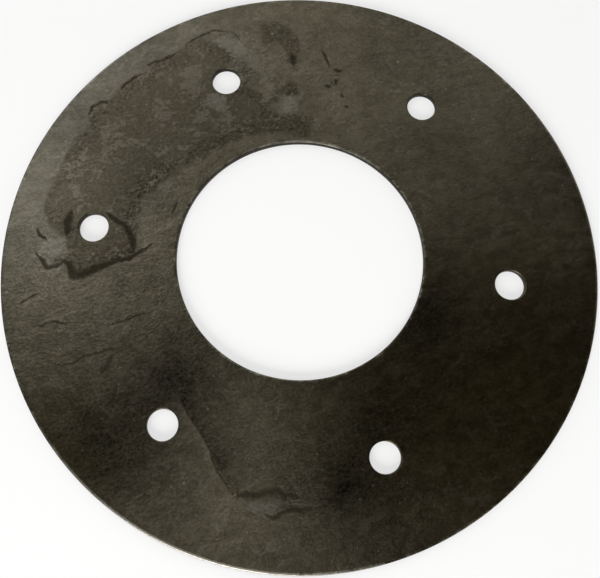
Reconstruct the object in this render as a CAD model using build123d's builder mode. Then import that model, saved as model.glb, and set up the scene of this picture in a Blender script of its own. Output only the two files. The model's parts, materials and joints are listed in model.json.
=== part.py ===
"""Motor mounting bracket of the flat ring kind: one disc cut from hot-rolled steel sheet.

The motor's spigot stands in the central bore, and bolts on one circle hold the motor's
flange to the plate and the plate to its frame. The two faces keep the skin of the
rolled sheet, and every cut edge is lightly rounded.

Millimetres, +Z up. The origin is where the bore's axis meets the underside, so the plate
lies on Z = 0, and the first bolt hole is on +X.
"""

import os

from build123d import *

# Driving dimensions
sheet_thickness = 2.5
rim_diameter = 240.0
bore_diameter = 100.0
bolt_circle_diameter = 170.0
bolt_hole_diameter = 12.0
bolt_hole_count = 6
edge_round = 0.5  # radius that deburring leaves along every cut edge

# The plate
with BuildPart() as mounting_plate:
    with BuildSketch(Plane.XY) as blank:
        Circle(rim_diameter / 2)
        Circle(bore_diameter / 2, mode=Mode.SUBTRACT)
        with PolarLocations(bolt_circle_diameter / 2, bolt_hole_count):
            Circle(bolt_hole_diameter / 2, mode=Mode.SUBTRACT)
    extrude(amount=sheet_thickness)

    # Deburring rounds the rim, the bore and the bolt holes alike, on both faces
    cut_edges = mounting_plate.edges().filter_by(GeomType.CIRCLE)
    fillet(cut_edges, radius=edge_round)

mounting_plate.part.label = "mounting_plate"

os.makedirs("parts", exist_ok=True)
export_step(mounting_plate.part, "parts/mounting_plate.step")
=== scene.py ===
import json

import bpy
import numpy as np
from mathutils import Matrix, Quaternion, Vector


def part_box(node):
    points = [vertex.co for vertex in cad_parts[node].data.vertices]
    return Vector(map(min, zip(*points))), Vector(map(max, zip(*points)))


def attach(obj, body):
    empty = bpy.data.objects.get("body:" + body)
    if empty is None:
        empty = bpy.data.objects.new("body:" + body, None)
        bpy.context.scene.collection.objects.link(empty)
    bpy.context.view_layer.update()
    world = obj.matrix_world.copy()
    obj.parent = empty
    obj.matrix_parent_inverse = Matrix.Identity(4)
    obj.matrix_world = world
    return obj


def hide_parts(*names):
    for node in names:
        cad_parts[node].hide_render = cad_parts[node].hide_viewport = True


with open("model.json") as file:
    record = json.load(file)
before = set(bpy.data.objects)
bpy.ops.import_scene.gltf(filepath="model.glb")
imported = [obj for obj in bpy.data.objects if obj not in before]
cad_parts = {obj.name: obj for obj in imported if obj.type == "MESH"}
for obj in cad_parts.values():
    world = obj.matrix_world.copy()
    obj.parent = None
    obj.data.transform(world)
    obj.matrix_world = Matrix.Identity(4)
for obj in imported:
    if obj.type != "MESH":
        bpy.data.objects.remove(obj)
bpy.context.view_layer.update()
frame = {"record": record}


# ---------------------------------------------------------------------------------------
# Ring plate: one disc of hot-rolled steel sheet, with the mill scale left on both faces.
# It is cut by laser, which leaves fine upright lines on the walls, and its edges are
# deburred, which leaves them bright. Bolts through the six holes fix it to its frame.

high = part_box("mounting_plate")[1]
mounts = {mount["name"]: mount["dims"] for mount in frame["record"]["mounts"]}
thickness = high[2] * 1000  # the plate is worked out in millimetres
rim = high[0] * 1000
bore = mounts["bore"]["r_mm"]
edge_round = (thickness - mounts["bore"]["length_mm"]) / 2
bolt_circle = mounts["bolt_circle"]["pcd_mm"] / 2
bolt_hole = mounts["bolt_circle"]["hole_r_mm"]
bolt_holes = mounts["bolt_circle"]["count"]
quarter_turn = np.pi / 2 * edge_round
to_mid_wall = quarter_turn + thickness / 2 - edge_round
# Distances past a face's flat part at which rings of the shell lie, from mid-wall inwards
bends = np.r_[to_mid_wall, (to_mid_wall + quarter_turn) / 2, quarter_turn * np.linspace(1, 0, 6)]


def folded(past):
    """How far out and how far down a face has gone at a distance past its flat part.

    Out is the edge round times the sine of the angle turned, and down is the edge round
    times one less its cosine. After the quarter turn only down grows, by the distance.
    """
    turned = np.clip(past / edge_round, 0, np.pi / 2)
    out = edge_round * np.sin(turned)
    down = edge_round * (1 - np.cos(turned)) + np.maximum(past - quarter_turn, 0)
    return out, down


spokes = 480
window = 14.0  # half the width, in millimetres, of the patch that each bolt hole takes
window_spokes = 12  # the same in spokes
window_rings = 28  # steps from ring to ring across a patch
field_rings = 20  # and from a patch's side to the bore's or the rim's edge
hole_rings = 10  # and from a bolt hole's edge to its patch's sides
crowding = 1.35  # the power that draws those towards the hole's edge


def ring_pattern():
    """The face as rings and spokes, flat and folded, from mid-wall of bore to that of rim.

    A place is its ring's radius at its spoke's angle. Past the flat part, the folded place
    leaves that radius by folded's out and goes down by its down.
    """
    inner, outer = bore + edge_round, rim - edge_round
    ring = np.r_[
        inner - bends[:-1],
        np.linspace(inner, bolt_circle - window, field_rings + 1)[:-1],
        np.linspace(bolt_circle - window, bolt_circle + window, window_rings + 1)[:-1],
        np.linspace(bolt_circle + window, outer, field_rings + 1)[:-1],
        outer + bends[::-1],
    ]
    radius, angle = np.meshgrid(ring, np.arange(spokes) * 2 * np.pi / spokes, indexing="ij")
    out_rim, down_rim = folded(np.maximum(radius - outer, 0))
    out_bore, down_bore = folded(np.maximum(inner - radius, 0))
    bent = np.clip(radius, inner, outer) + out_rim - out_bore
    way = np.stack([np.cos(angle), np.sin(angle)], -1)
    down = (thickness - down_rim - down_bore)[..., None]
    return ring, radius[..., None] * way, np.concatenate([bent[..., None] * way, down], -1)


def hole_pattern(centre, sides):
    """The face round one bolt hole, flat and folded, from mid-wall out to its patch's sides.

    A spoke runs from the hole's centre to each place on the sides. On it, a place outside
    the hole's edge is the edge's place blended towards the side's, by its ring's share of
    the steps between them raised to the crowding.
    """
    way = (sides - centre) / np.linalg.norm(sides - centre, axis=1)[:, None]
    edge = bolt_hole + edge_round
    out, down = folded(bends)
    flat_wall = centre + (edge - bends)[:, None, None] * way
    solid_wall = centre + (edge - out)[:, None, None] * way
    share = np.linspace(0, 1, hole_rings + 1)[1:-1, None, None] ** crowding
    field = (1 - share) * flat_wall[-1] + share * sides
    height = np.r_[thickness - down, np.full(len(field), thickness)]
    solid = np.concatenate([solid_wall, field])
    height = np.broadcast_to(height[:, None, None], solid.shape[:2] + (1,))
    return np.concatenate([flat_wall, field]), np.concatenate([solid, height], -1)


rings, flat, solid = ring_pattern()
first = int(np.argmin(np.abs(rings - bolt_circle + window)))
last = int(np.argmin(np.abs(rings - bolt_circle - window)))
number = np.arange(len(rings) * spokes).reshape(len(rings), spokes)
ring, spoke = np.meshgrid(np.arange(len(rings) - 1), np.arange(spokes), indexing="ij")
into_patch = (spoke + window_spokes) % (spokes // bolt_holes)
taken = (ring >= first) & (ring < last) & (into_patch < 2 * window_spokes)
ring, spoke = ring[~taken], spoke[~taken]
next_spoke = (spoke + 1) % spokes
near_side = [number[ring, spoke], number[ring + 1, spoke]]
far_side = [number[ring + 1, next_spoke], number[ring, next_spoke]]
quads = [np.stack(near_side + far_side, 1)]
flats, solids = [flat.reshape(-1, 2)], [solid.reshape(-1, 3)]
hole_angle = np.arange(bolt_holes) * 2 * np.pi / bolt_holes
hole_centre = bolt_circle * np.stack([np.cos(hole_angle), np.sin(hole_angle)], 1)
along, across = np.arange(first, last), np.arange(-window_spokes, window_spokes)
for hole in range(bolt_holes):
    middle = hole * spokes // bolt_holes
    around = np.r_[
        number[along, (middle - window_spokes) % spokes],
        number[last, (middle + across) % spokes],
        number[along[::-1] + 1, (middle + window_spokes) % spokes],
        number[first, (middle + across[::-1] + 1) % spokes],
    ]
    patch_flat, patch_solid = hole_pattern(hole_centre[hole], flats[0][around])
    own = sum(map(len, flats)) + np.arange(patch_flat[..., 0].size).reshape(patch_flat.shape[:2])
    net = np.vstack([own, around])
    beyond = np.roll(net, -1, axis=1)
    quads.append(np.stack([net[:-1], net[1:], beyond[1:], beyond[:-1]], -1).reshape(-1, 4))
    flats.append(patch_flat.reshape(-1, 2))
    solids.append(patch_solid.reshape(-1, 3))

# The lower half is the upper one in a mirror at mid-thickness, on the same mid-wall places
flat, solid, upper = np.concatenate(flats), np.concatenate(solids), np.concatenate(quads)
mid_wall = np.abs(solid[:, 2] - thickness / 2) < 1e-6
mirror_number = np.arange(len(solid)) + np.where(mid_wall, 0, len(solid))
corners = np.concatenate([upper, mirror_number[upper][:, ::-1]])
places = np.concatenate([solid, solid * [1, 1, -1] + [0, 0, thickness]])
kept = np.zeros(len(places), bool)
kept[corners] = True
corners = (np.cumsum(kept) - 1)[corners]
places = places[kept]
flat = np.concatenate([flat, flat])[kept]

plate_mesh = bpy.data.meshes.new("ring_plate")
plate_mesh.from_pydata((places / 1000).tolist(), [], corners.tolist())
plate_mesh.polygons.foreach_set("use_smooth", np.ones(len(corners), bool))

# Bake map: each face is laid out flat with its half of the walls folded out round it, the
# top at one corner of the map and the underside, in a mirror, at the opposite corner
laid_half = 0.285
top_middle, under_middle = 0.29, 0.71
is_upper = (np.arange(len(corners)) < len(upper)).repeat(4)
across_map = np.where(is_upper, 1, -1)[:, None] ** [1, 0]
laid = flat[corners.ravel()] * across_map * laid_half / (rim + to_mid_wall)
laid = laid + np.where(is_upper, top_middle, under_middle)[:, None]
plate_mesh.uv_layers.new(name="OFBake").uv.foreach_set("vector", laid.astype(np.float32).ravel())

# Marks in the mill scale, with some painted light and shade among them, in millimetres on the plate.
# The underside's are these, turned.
stains = [
    [(-45, 90), (-52, 92), (-57, 94), (-62, 90), (-65, 86), (-71, 81), (-77, 75), (-82, 70), (-86, 65),
     (-89, 60), (-94, 56), (-98, 51), (-97, 44), (-101, 37), (-103, 28), (-105, 20), (-107, 12), (-107, 4),
     (-101, -3), (-95, -6), (-94, -14), (-89, -21), (-85, -22), (-79, -18), (-72, -13), (-66, -10), (-66, -2),
     (-68, 6), (-68, 14), (-63, 22), (-54, 31), (-46, 37), (-38, 44), (-28, 50), (-14, 53), (-3, 52),
     (-3, 63), (-10, 62), (-20, 62), (-25, 69), (-33, 73), (-31, 80), (-35, 85)],
    [(-33, 105), (-26, 106), (-19, 104), (-14, 98), (-13, 90), (-14, 85), (-18, 87), (-20, 94), (-25, 96),
     (-28, 92), (-31, 97)],
    [(-10, 76), (-15, 78), (-19, 74), (-23, 70), (-21, 66), (-17, 70), (-11, 71)],
]
pale_patches = [
    [(-52, 92), (-49, 97), (-44, 97), (-39, 93), (-35, 89), (-34, 85), (-40, 85), (-46, 88)],
    [(-105, -10), (-100, -7), (-95, -7), (-92, -11), (-94, -14), (-100, -15), (-104, -14)],
    [(-8, -97), (-3, -95), (3, -95), (10, -94), (14, -94), (8, -97), (3, -99), (-3, -101)],
    [(-50, 66), (-46, 67), (-41, 65), (-39, 60), (-44, 59), (-49, 61)],
    [(-18, 70), (-13, 71), (-11, 66), (-13, 61), (-18, 63)],
]
# Cracks and lifted edges, drawn near-black as painted shade: half width, then the line that each follows
cracks = [
    (0.6, [(-46, 98), (-52, 97.5), (-56, 95), (-60, 92), (-63, 88)]),
    (0.9, [(-66, 84), (-70, 81), (-73, 79), (-76, 77.5), (-78, 76)]),
    (0.6, [(-79, 72), (-82, 69.5), (-85, 66), (-86.5, 63)]),
    (0.8, [(-91, 56.5), (-94, 56), (-97, 53), (-98, 49)]),
    (0.3, [(-44, 98), (-41, 96), (-38, 93)]),
    (0.7, [(-108, -4), (-105.5, -7), (-102, -8)]),
    (1.1, [(-106, -14), (-102, -17), (-99.5, -19.5), (-96, -18), (-93, -16)]),
    (2.2, [(-95, -15), (-91, -17), (-88.5, -21.5), (-85, -20.5), (-81, -17.5), (-77, -15), (-72, -13)]),
    (1.0, [(-75, -11.5), (-71, -12), (-68, -11), (-65, -8.5), (-62, -6), (-60, -3)]),
    (1.5, [(-81, 7), (-78, 5), (-75, 3.5), (-72, 2.5), (-70, 0), (-68, -3), (-66.5, -8)]),
    (1.8, [(-95, 6), (-96, 1), (-95, -5)]),
    (0.6, [(-53, 16), (-54.5, 10)]),
    (1.5, [(-16, 91), (-14.5, 85.5)]),
    (0.8, [(-3.5, 94.5), (-1, 91), (0.7, 87.5)]),
    (1.1, [(2.5, 86), (6.5, 85.5)]),
    (1.1, [(4.3, 81.3), (5, 78.7)]),
    (1.1, [(0, 77.6), (3, 77.4)]),
    (0.7, [(7.8, 75), (8.6, 73)]),
    (0.8, [(9.8, 69.3), (11.3, 68.5)]),
    (0.7, [(-97, -44), (-94, -41.2), (-91, -40.3), (-87, -41.5)]),
    (0.5, [(-108, -36), (-104, -33), (-100, -30)]),
    (0.5, [(-72, -39), (-66, -37), (-62, -35), (-59, -33), (-55, -31)]),
    (0.6, [(-91, -56), (-85, -57), (-80, -55), (-77, -52), (-72, -50), (-67, -48), (-62, -46)]),
    (1.1, [(-66.5, -50), (-67, -54), (-69.3, -58)]),
    (0.8, [(-62, -60), (-62.5, -67)]),
    (0.6, [(-23, -80), (-21, -84), (-18, -88), (-14, -92.5), (-9, -96.5)]),
    (1.8, [(13, -92.5), (10, -91.5), (7, -92.5), (4, -91), (0, -92), (-3, -93.5), (-7, -93.5), (-11, -95.5)]),
    (2.1, [(35, -79.5), (31, -81.5), (27.5, -83.3), (25, -85), (21, -87)]),
    (1.3, [(30.5, -89.8), (25.5, -91.2), (21.5, -91.5)]),
    (1.3, [(18.5, -94.8), (14, -96.4), (10.5, -96.3), (7, -98.3), (4, -100.8), (0.5, -99.7)]),
]
fold = [(-39, -62), (-33, -69), (-28, -74.5), (-24, -79), (-21, -84), (-18, -88), (-14, -92.5), (-7, -98)]
scratches = [
    [(-66, 22), (-60, 27), (-54, 32)],
    [(-78, 14), (-69, 14), (-60, 14.5)],
    [(-93, 44), (-87, 46), (-82, 48)],
    [(-90, 40), (-84, 43)],
    [(-100, -47), (-92, -46), (-84, -48)],
    [(-88, -54), (-80, -50), (-70, -46)],
    [(-70, -36), (-62, -33), (-54, -29)],
    [(58, -99), (63, -96)],
]
# Soft places: x, y, size and amount. Clouding, the second list, is how much lighter or darker the
# scale is: partly the scale's own clouding, partly painted light, with painted shade over the lower
# right, beside the fold and cracks and along a faint crease at the upper right, and a painted
# reflection as a lighter band on the right above the darker part.
flaking = [
    (-56, 75, 7, 0.8), (-47, 63, 7, 0.7), (-68, 55, 7, 0.8), (-60, 67, 5, 0.5), (-55, 49, 6, 0.5),
    (-89, 42, 7, 0.7), (-84, 36, 6, 0.6), (-98, 25, 6, 0.6), (-93, 13, 5, 0.6), (-36, 84, 8, 0.9),
    (-38, 58, 6, 0.6), (-24, 82, 9, 0.9), (-14, 66, 7, 0.8), (-62, 24, 7, 0.5), (-60, 8, 6, 0.4),
    (-92, 60, 5, 0.5), (-78, 73, 5, 0.6),
]
clouding = [
    (-66, 95, 22, 0.65), (-94, 70, 16, 0.4), (-110, 10, 26, 0.4), (-28, 108, 14, 0.2),
    (-98, -28, 18, 0.3), (-68, 22, 16, -0.12), (-14, -60, 20, 0.45), (10, -62, 16, 0.25),
    (-38, -56, 16, -0.62), (-62, -84, 22, -0.6), (-8, -98, 14, 0.35), (32, -84, 16, -0.45),
    (34, -60, 16, -0.4), (52, -18, 18, -0.5), (60, -55, 22, -0.25), (100, -20, 20, -0.1),
    (106, 22, 18, 0.3), (100, 18, 24, 0.3), (76, 10, 14, 0.15), (100, -50, 18, 0.1),
    (80, -88, 20, 0.35), (36, 104, 30, -0.25), (46, 58, 18, -0.25), (-96, -62, 18, 0.15),
    (-19, -82, 6, -0.25), (7, -91, 5, -0.3), (28, -83, 6, -0.3), (25, -91, 5, -0.2),
    (-8, 103, 2.5, -0.1), (15, 96, 3, -0.07), (19, 93, 2.5, -0.13), (23, 89, 2.5, -0.13),
    (26.5, 85, 2, -0.13),
]
browning = [
    (90, -45, 50, 0.45), (-78, -92, 22, 0.35), (-90, 85, 45, -0.25), (-112, 10, 45, -0.25),
    (45, -65, 30, 0.2),
]
coarse_ground = [
    (-90, -25, 45, 0.5), (-20, -85, 45, 0.4), (-80, 30, 40, 0.3), (-40, 80, 35, 0.25),
    (85, 30, 60, -0.4),
]
rusting = [
    (-70, 62, 13, 0.9), (-87, 46, 8, 0.7), (64, 48, 5, 0.5), (-50, -98, 14, 0.25),
]
edge_wear = [
    (118, 35, 60, 0.8), (-30, -118, 65, 1.1), (0, 50, 45, 0.5), (90, -85, 40, 0.3),
    (-95, 75, 60, 0.3),
]


def depth_inside(places, outline):
    """How deep each place lies inside a closed outline, or how far outside it, below zero.

    The size is the distance to the nearest side, and the sign comes from how many sides
    a line drawn from the place towards +X crosses.
    """
    start = np.array(outline, float)
    run = np.roll(start, -1, axis=0) - start
    gap = places[:, None] - start
    share = np.clip((gap * run).sum(2) / (run * run).sum(1), 0, 1)
    distance = np.linalg.norm(gap - share[..., None] * run, axis=2).min(1)
    spans = (gap[..., 1] >= 0) != (gap[..., 1] >= run[:, 1])
    slope = run[:, 0] / np.where(run[:, 1] == 0, 1, run[:, 1])
    crossed = spans & (gap[..., 0] < gap[..., 1] * slope)
    return np.where(crossed.sum(1) % 2 == 1, distance, -distance)


def beside_line(places, half_width, line):
    """How far beside a line each place lies, with a sign for its side, and the half width.

    The half width at the nearest place on the line shrinks to nothing at both ends, as the
    square root of four times the share along times the share left.
    """
    start = np.array(line, float)[:-1]
    run = np.diff(np.array(line, float), axis=0)
    length = np.linalg.norm(run, axis=1)
    gap = places[:, None] - start
    share = np.clip((gap * run).sum(2) / length**2, 0, 1)
    distance = np.linalg.norm(gap - share[..., None] * run, axis=2)
    nearest = distance.argmin(1)[:, None]
    side = np.sign(run[:, 0] * gap[..., 1] - run[:, 1] * gap[..., 0])
    gone = (np.cumsum(length) - length + share * length) / length.sum()
    gone = np.take_along_axis(gone, nearest, 1)[:, 0]
    offset = np.take_along_axis(distance * side, nearest, 1)[:, 0]
    return offset, half_width * np.sqrt(np.clip(4 * gone * (1 - gone), 0, 1))


def soft_places(places, spots):
    """The sum of round spots, each its amount times e to minus distance over size, squared."""
    x, y, size, amount = np.array(spots, float).T
    squared = (places[:, :1] - x) ** 2 + (places[:, 1:] - y) ** 2
    return (amount * np.exp(-squared / size**2)).sum(1)


# The underside's marks are the top's, seen in a mirror and turned by 200 degrees
is_under = places[:, 2] < thickness / 2 - 1e-6
turned_cos, turned_sin = np.cos(np.radians(200)), np.sin(np.radians(200))
under_x = -flat[:, 0] * turned_cos - flat[:, 1] * turned_sin
under_y = -flat[:, 0] * turned_sin + flat[:, 1] * turned_cos
on_face = np.where(is_under[:, None], np.stack([under_x, under_y], 1), flat)
beside_cracks = [beside_line(on_face, half_width, line) for half_width, line in cracks]
offset, half_width = np.array(beside_cracks).transpose(1, 0, 2)
nearest_crack = (np.abs(offset) - half_width).argmin(0)[None]
fold_offset, fold_share = beside_line(on_face, 1, fold)
reach = np.linalg.norm(flat, axis=1)
from_hole = np.linalg.norm(flat[:, None] - hole_centre, axis=2).min(1)
unworn = 12  # millimetres from a bolt hole's centre inside which no edge is rubbed bright
past_face = np.maximum(reach - rim, bore - reach) + edge_round
past_face = np.maximum(past_face, bolt_hole + edge_round - from_hole)
marks = {
    "stain_depth": np.max([depth_inside(on_face, outline) for outline in stains], 0),
    "pale_depth": np.max([depth_inside(on_face, outline) for outline in pale_patches], 0),
    "crack_offset": np.take_along_axis(offset, nearest_crack, 0)[0],
    "crack_half_width": np.take_along_axis(half_width, nearest_crack, 0)[0],
    "crack_distance": np.abs(offset).min(0),
    "fold_offset": fold_offset,
    "fold_share": fold_share,
    "flaking": soft_places(on_face, flaking),
    "clouding": soft_places(on_face, clouding),
    "rusting": soft_places(on_face, rusting),
    "browning": np.clip(0.25 + soft_places(on_face, browning), 0, 1),
    "coarse_ground": 0.8 + soft_places(on_face, coarse_ground),
    "edge_wear": np.where(from_hole < unworn, -1, soft_places(on_face, edge_wear)),
    "scratch_distance": np.min([np.abs(beside_line(on_face, 1, line)[0]) for line in scratches], 0),
    "past_face": past_face,
}
for name, values in marks.items():
    plate_mesh.attributes.new(name, "FLOAT", "POINT").data.foreach_set("value", values.astype(np.float32))

scaled_steel = bpy.data.materials.new("scaled_steel")
scaled_steel.use_nodes = True
tree = scaled_steel.node_tree
surface = tree.nodes["Principled BSDF"]


def add_node(kind, feeds, output=0, **settings):
    """Adds a node to the tree in hand, feeds its inputs from values or outputs, and gives its output."""
    node = tree.nodes.new(kind)
    for name, value in settings.items():
        setattr(node, name, value)
    for slot, feed in feeds.items():
        if isinstance(feed, bpy.types.NodeSocket):
            tree.links.new(feed, node.inputs[slot])
        else:
            node.inputs[slot].default_value = feed
    return node.outputs[output]


def maths(operation, a, b=0.0):
    """One sum on two numbers."""
    return add_node("ShaderNodeMath", {0: a, 1: b}, operation=operation)


def add_up(*terms):
    """The sum of terms, each a value or a value and its factor."""
    total = 0.0
    for term in terms:
        value, factor = term if isinstance(term, tuple) else (term, 1.0)
        total = add_node("ShaderNodeMath", {0: value, 1: factor, 2: total}, operation="MULTIPLY_ADD")
    return total


def step(value, start, end, to_start=0.0, to_end=1.0):
    """A smooth step from one number to another as the value goes from start to end."""
    feeds = {"Value": value, "From Min": start, "From Max": end, "To Min": to_start, "To Max": to_end}
    return add_node("ShaderNodeMapRange", feeds, interpolation_type="SMOOTHSTEP")


def blend(share, a, b):
    """A colour that goes from a to b with the share."""
    return add_node("ShaderNodeMix", {0: share, 6: a, 7: b}, 2, data_type="RGBA")


def mark(name):
    """One of the numbers kept on the mesh."""
    return add_node("ShaderNodeAttribute", {}, "Fac", attribute_name=name)


def grains(size, detail, length=1.0, turn=0.0, tall=1.0, roughness=0.6, warp=0.0):
    """Noise about its middle, in grains of a size in millimetres, long one way and tall upright."""
    size = size / 1000
    scale = (size * length, size, size * tall)
    feeds = {"Vector": here, "Scale": scale, "Rotation": (0, 0, np.radians(turn))}
    where = add_node("ShaderNodeMapping", feeds, vector_type="TEXTURE")
    feeds = {"Vector": where, "Scale": 1.0, "Detail": detail, "Roughness": roughness, "Distortion": warp}
    return maths("SUBTRACT", add_node("ShaderNodeTexNoise", feeds), 0.5)


here = add_node("ShaderNodeTexCoord", {}, "Object")
cloud = grains(24, 3)
mottle = grains(4.2, 5, length=1.5, turn=24, warp=0.6)
crumb = grains(1.1, 4, length=1.3, turn=30, roughness=0.68)
grit = grains(0.6, 3)
rolling = grains(0.9, 4, length=5, turn=24)
relief = maths("MULTIPLY", add_up((crumb, 0.11), (grit, 0.055), (rolling, 0.009)), mark("coarse_ground"))

# Browner, duller scale in the stains, their edges ragged, with crumbly ground inside the edge
stain_depth = add_up(mark("stain_depth"), (mottle, 9.0), (crumb, 3.5))
stain = step(stain_depth, -0.5, 0.6)
stain_edge = maths("MULTIPLY", step(stain_depth, -0.5, 1.0), step(stain_depth, 3.0, 9.0, 1.0, 0.0))
pale = step(add_up(mark("pale_depth"), (mottle, 6.0), (crumb, 3.0)), -0.6, 1.2)

# Paler ground shows in blotches where the stain has flaked
blotch = add_up(grains(5, 6, length=1.3, turn=30, roughness=0.64, warp=0.8), (mark("flaking"), 0.17))
flakes = step(add_up(blotch, (crumb, 0.2)), 0.06, 0.15)

# Cracks wander, and are fainter where the crumbs are low. One lip stands proud of the other, and the
# tone paints light on the proud side and shade on the other side.
crack_offset = add_up(mark("crack_offset"), (mottle, 2.2), (crumb, 2.2), (grit, 1.0))
crack_width = maths("MAXIMUM", mark("crack_half_width"), 0.001)
crack_share = maths("DIVIDE", maths("ABSOLUTE", crack_offset), crack_width)
unbroken = step(add_up(grit, crumb), -0.25, 0.05, 0.3, 1.0)
crack_and_painted_shade = maths("MULTIPLY", step(crack_share, 0.3, 1.3, 1.0, 0.0), unbroken)
# Both end a little way off, or false lines would show where the nearest crack changes
near_crack = step(mark("crack_distance"), 1.8, 2.6, 1.0, 0.0)
crack_and_painted_shade = maths("MULTIPLY", crack_and_painted_shade, near_crack)
lip_share = maths("DIVIDE", crack_offset, 0.9)
lip_fade = maths("POWER", 2.72, maths("MULTIPLY", maths("MULTIPLY", lip_share, lip_share), -1.0))
lip_size = maths("MINIMUM", mark("crack_half_width"), 1.2)
lip_and_painted_shading = maths("MULTIPLY", maths("MULTIPLY", lip_share, lip_fade), lip_size)
lip_and_painted_shading = maths("MULTIPLY", lip_and_painted_shading, near_crack)
# The fold: a crease in the scale, its one side painted lighter and the other painted darker, as light and
# shade across it; the lighter side also stands a little proud in the height.
fold_offset = add_up(mark("fold_offset"), (mottle, 2.0), (crumb, 1.0))
fold_fade = maths("POWER", 2.72, maths("MULTIPLY", maths("ABSOLUTE", fold_offset), -0.2))
fold_near = maths("MULTIPLY", fold_fade, mark("fold_share"))
fold_rise_and_painted_light = maths("MULTIPLY", step(fold_offset, -0.3, 0.3, 1.0, 0.0), fold_near)
fold_painted_shade = maths("MULTIPLY", step(fold_offset, -0.3, 0.3), fold_near)
scratch = step(add_up(mark("scratch_distance"), (mottle, 1.2), (crumb, 0.8)), 0.0, 0.55, 1.0, 0.0)

# Chips: small spots at scattered centres, kept where the centre's own number is high
spot = tree.nodes.new("ShaderNodeTexVoronoi")
spot.inputs["Scale"].default_value = 230
tree.links.new(here, spot.inputs["Vector"])
spot_kind = add_node("ShaderNodeSeparateColor", {"Color": spot.outputs["Color"]}, "Red")
chip_size = step(spot_kind, 0.5, 1.0, 0.0, 0.13)
chips = step(add_up(spot.outputs["Distance"], (chip_size, -1.0), (crumb, 0.12)), -0.04, 0.01, 1.0, 0.0)

# The cut edge: rounds rubbed bright in places, then dark walls with upright lines
past_face = add_up(mark("past_face"), (crumb, 0.35))
rubbed = maths("MULTIPLY", step(past_face, -0.75, -0.15), step(past_face, 0.25, 0.5, 1.0, 0.0))
rubbed = maths("MULTIPLY", rubbed, step(add_up(mark("edge_wear"), (mottle, 1.5), (crumb, 1.0)), 0.05, 0.75))
cut_wall = step(past_face, 0.3, 0.55)
cut_lines = grains(0.4, 3, tall=25, roughness=0.7)

grey_scale = blend(step(mottle, -0.18, 0.18), (0.067, 0.062, 0.0475, 1), (0.092, 0.085, 0.067, 1))
brown_scale = blend(step(mottle, -0.18, 0.18), (0.072, 0.057, 0.0235, 1), (0.097, 0.077, 0.033, 1))
skin = blend(mark("browning"), grey_scale, brown_scale)
skin = blend(maths("MULTIPLY", stain, 0.7), skin, (0.050, 0.0435, 0.029, 1))
skin = blend(maths("MULTIPLY", pale, 0.6), skin, (0.118, 0.111, 0.092, 1))
skin = blend(maths("MULTIPLY", flakes, 0.46), skin, (0.122, 0.112, 0.088, 1))
skin = blend(maths("MULTIPLY", mark("rusting"), 0.22), skin, (0.092, 0.064, 0.046, 1))
# The clouding term carries painted shade and a painted reflection as well as the scale's own clouding
tone = add_up(1.0, mark("clouding"), (cloud, 0.3), (mottle, 0.15), (relief, 13.0))
edge_crumbs = maths("MULTIPLY", stain_edge, crumb)
# The lip term is painted light on a crack's proud side and painted shade on its other side
tone = add_up(tone, (stain_edge, -0.12), (edge_crumbs, 1.6), (lip_and_painted_shading, 0.15))
# Painted light and painted shade on the two sides of the fold
tone = add_up(tone, (fold_rise_and_painted_light, 0.55), (fold_painted_shade, -0.45))
skin = add_node("ShaderNodeVectorMath", {0: skin, 3: tone}, operation="SCALE")
skin = blend(maths("MULTIPLY", scratch, 0.25), skin, (0.20, 0.18, 0.15, 1))
skin = blend(maths("MULTIPLY", chips, 0.42), skin, (0.24, 0.22, 0.18, 1))
# The near-black colour along the cracks is painted shade in them
skin = blend(maths("MULTIPLY", crack_and_painted_shade, 0.74), skin, (0.018, 0.015, 0.009, 1))
colour = blend(maths("MULTIPLY", rubbed, 0.85), skin, (0.36, 0.34, 0.29, 1))
walls = blend(step(cut_lines, -0.1, 0.15), (0.014, 0.012, 0.008, 1), (0.034, 0.030, 0.022, 1))
colour = blend(cut_wall, colour, walls)
tree.links.new(colour, surface.inputs["Base Color"])
surface.inputs["Metallic"].default_value = 1.0

gloss = add_up(0.32, (mottle, 0.10), (crumb, 0.08), (crack_and_painted_shade, 0.25))
gloss = add_up(gloss, (stain, 0.02), (pale, -0.02), (cut_wall, 0.12))
tree.links.new(gloss, surface.inputs["Roughness"])

# Height in millimetres
ripple = maths("MULTIPLY", mottle, mark("coarse_ground"))
height = add_up((relief, 0.9), (ripple, 0.13), (stain, 0.015), (flakes, -0.008), (scratch, -0.005))
height = add_up(height, (crack_and_painted_shade, -0.08), (lip_and_painted_shading, 0.07), (fold_rise_and_painted_light, 0.03))
height = add_up(height, (maths("MULTIPLY", cut_lines, cut_wall), 0.05))
bump = add_node("ShaderNodeBump", {"Strength": 1.0, "Distance": 0.001, "Height": height})
tree.links.new(bump, surface.inputs["Normal"])
plate_mesh.materials.append(scaled_steel)

plate = bpy.data.objects.new("ring_plate", plate_mesh)
bpy.context.scene.collection.objects.link(plate)
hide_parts("mounting_plate")
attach(plate, "root")


# ---------------------------------------------------------------------------------------
# Floor: a wide, pale, matt tabletop that the plate lies on. It isn't part of the object.

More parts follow.
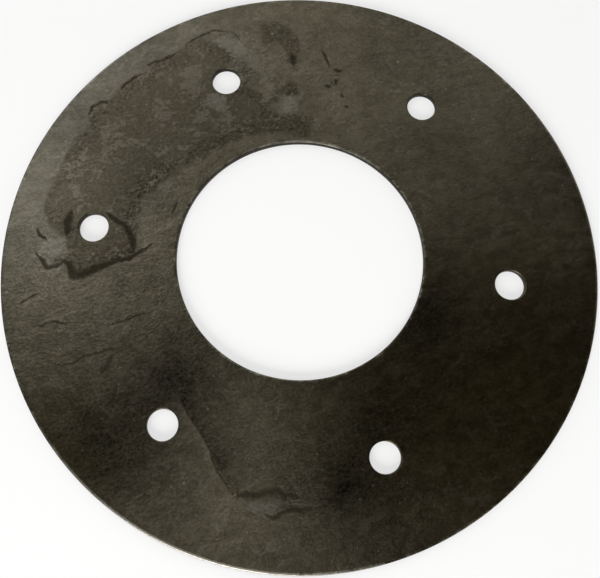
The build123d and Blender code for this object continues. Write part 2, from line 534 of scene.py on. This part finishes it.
table_half = 6.0
table_top = -0.00005  # just clear of the plate's underside
table_mesh = bpy.data.meshes.new("tabletop")
table_corners = [(-1, -1), (1, -1), (1, 1), (-1, 1)]
table_places = [(x * table_half, y * table_half, table_top) for x, y in table_corners]
table_mesh.from_pydata(table_places, [], [(0, 1, 2, 3)])
tabletop = bpy.data.objects.new("tabletop", table_mesh)
bpy.context.scene.collection.objects.link(tabletop)
matt_white = bpy.data.materials.new("matt_white")
matt_white.use_nodes = True
tree = matt_white.node_tree
table_surface = tree.nodes["Principled BSDF"]
table_surface.inputs["Base Color"].default_value = (0.95, 0.95, 0.95, 1)
table_surface.inputs["Roughness"].default_value = 1.0
table_surface.inputs["Specular IOR Level"].default_value = 0.0
ray = tree.nodes.new("ShaderNodeLightPath")
seen = maths("MAXIMUM", ray.outputs["Is Camera Ray"], ray.outputs["Is Glossy Ray"])
seen = maths("MAXIMUM", seen, ray.outputs["Is Transmission Ray"])
white = add_node("ShaderNodeEmission", {"Color": (1, 1, 1, 1), "Strength": 1.0})
on_table = add_node("ShaderNodeTexCoord", {}, "Object")
from_plate = add_node("ShaderNodeVectorMath", {0: on_table}, "Value", operation="LENGTH")
white_share = maths("MULTIPLY", seen, step(from_plate, 0.2, 0.8, 0.6, 1.0))
feeds = {0: white_share, 1: table_surface.outputs["BSDF"], 2: white}
tree.links.new(add_node("ShaderNodeMixShader", feeds), tree.nodes["Material Output"].inputs["Surface"])
table_mesh.materials.append(matt_white)


# ---------------------------------------------------------------------------------------
# Room: pale walls all round up to about 30 degrees and a dim ceiling, as in a light tent,
# with four round soft lamps, each named for where it stands.

room = bpy.data.worlds.new("room")
bpy.context.scene.world = room
room.use_nodes = True
tree = room.node_tree
direction = add_node("ShaderNodeTexCoord", {}, "Generated")
upward = add_node("ShaderNodeSeparateXYZ", {0: direction}, "Z")
shade = blend(step(upward, 0.44, 0.6), (1, 1, 1, 1), (0.035, 0.0262, 0.010, 1))
tree.links.new(shade, tree.nodes["Background"].inputs["Color"])


def soft_lamp(name, bearing, height, spread, brightness):
    """A round lamp 1.2 m from the plate, turned to face it.

    Bearing and height are degrees, from +X round towards +Y and up from the floor. Spread
    is half the angle that the lamp fills, and brightness is how bright it looks beside
    a white wall.
    """
    away = 1.2
    a, e, s = np.radians([bearing, height, spread])
    lamp = bpy.data.lights.new(name, "AREA")
    lamp.shape = "DISK"
    lamp.size = 2 * away * np.tan(s)
    lamp.energy = brightness * np.pi**2 * (lamp.size / 2) ** 2
    stand = bpy.data.objects.new(name, lamp)
    stand.location = Vector((np.cos(e) * np.cos(a), np.cos(e) * np.sin(a), np.sin(e))) * away
    stand.rotation_euler = stand.location.to_track_quat("Z", "Y").to_euler()
    bpy.context.scene.collection.objects.link(stand)


soft_lamp("lamp_behind", 87, 47, 20, 1.2)
soft_lamp("lamp_upper_left", 146, 55, 13, 2.75)
soft_lamp("lamp_overhead", 254, 72, 9, 2.4)
soft_lamp("lamp_low_front", 262, 25, 16, 12.0)


# ---------------------------------------------------------------------------------------
# Camera: held over the plate's near side, looking almost straight down.

camera_data = bpy.data.cameras.new("camera")
camera_data.sensor_width = 36
camera_data.lens = 38.11
camera_data.shift_x = 0.0162
camera_data.clip_start = 0.01
camera = bpy.data.objects.new("camera", camera_data)
bearing, rise, roll = np.radians([6.263, 76.125, 1.875])
camera_away = 0.2531
aim = Vector((-0.0020, -0.0143, high[2]))
back = Vector((np.cos(rise) * np.sin(bearing), -np.cos(rise) * np.cos(bearing), np.sin(rise)))
camera.location = aim + back * camera_away
camera.rotation_euler = (back.to_track_quat("Z", "Y") @ Quaternion((0, 0, 1), roll)).to_euler()
bpy.context.scene.collection.objects.link(camera)
bpy.context.scene.camera = camera

bpy.context.scene.view_settings.view_transform = "Standard"
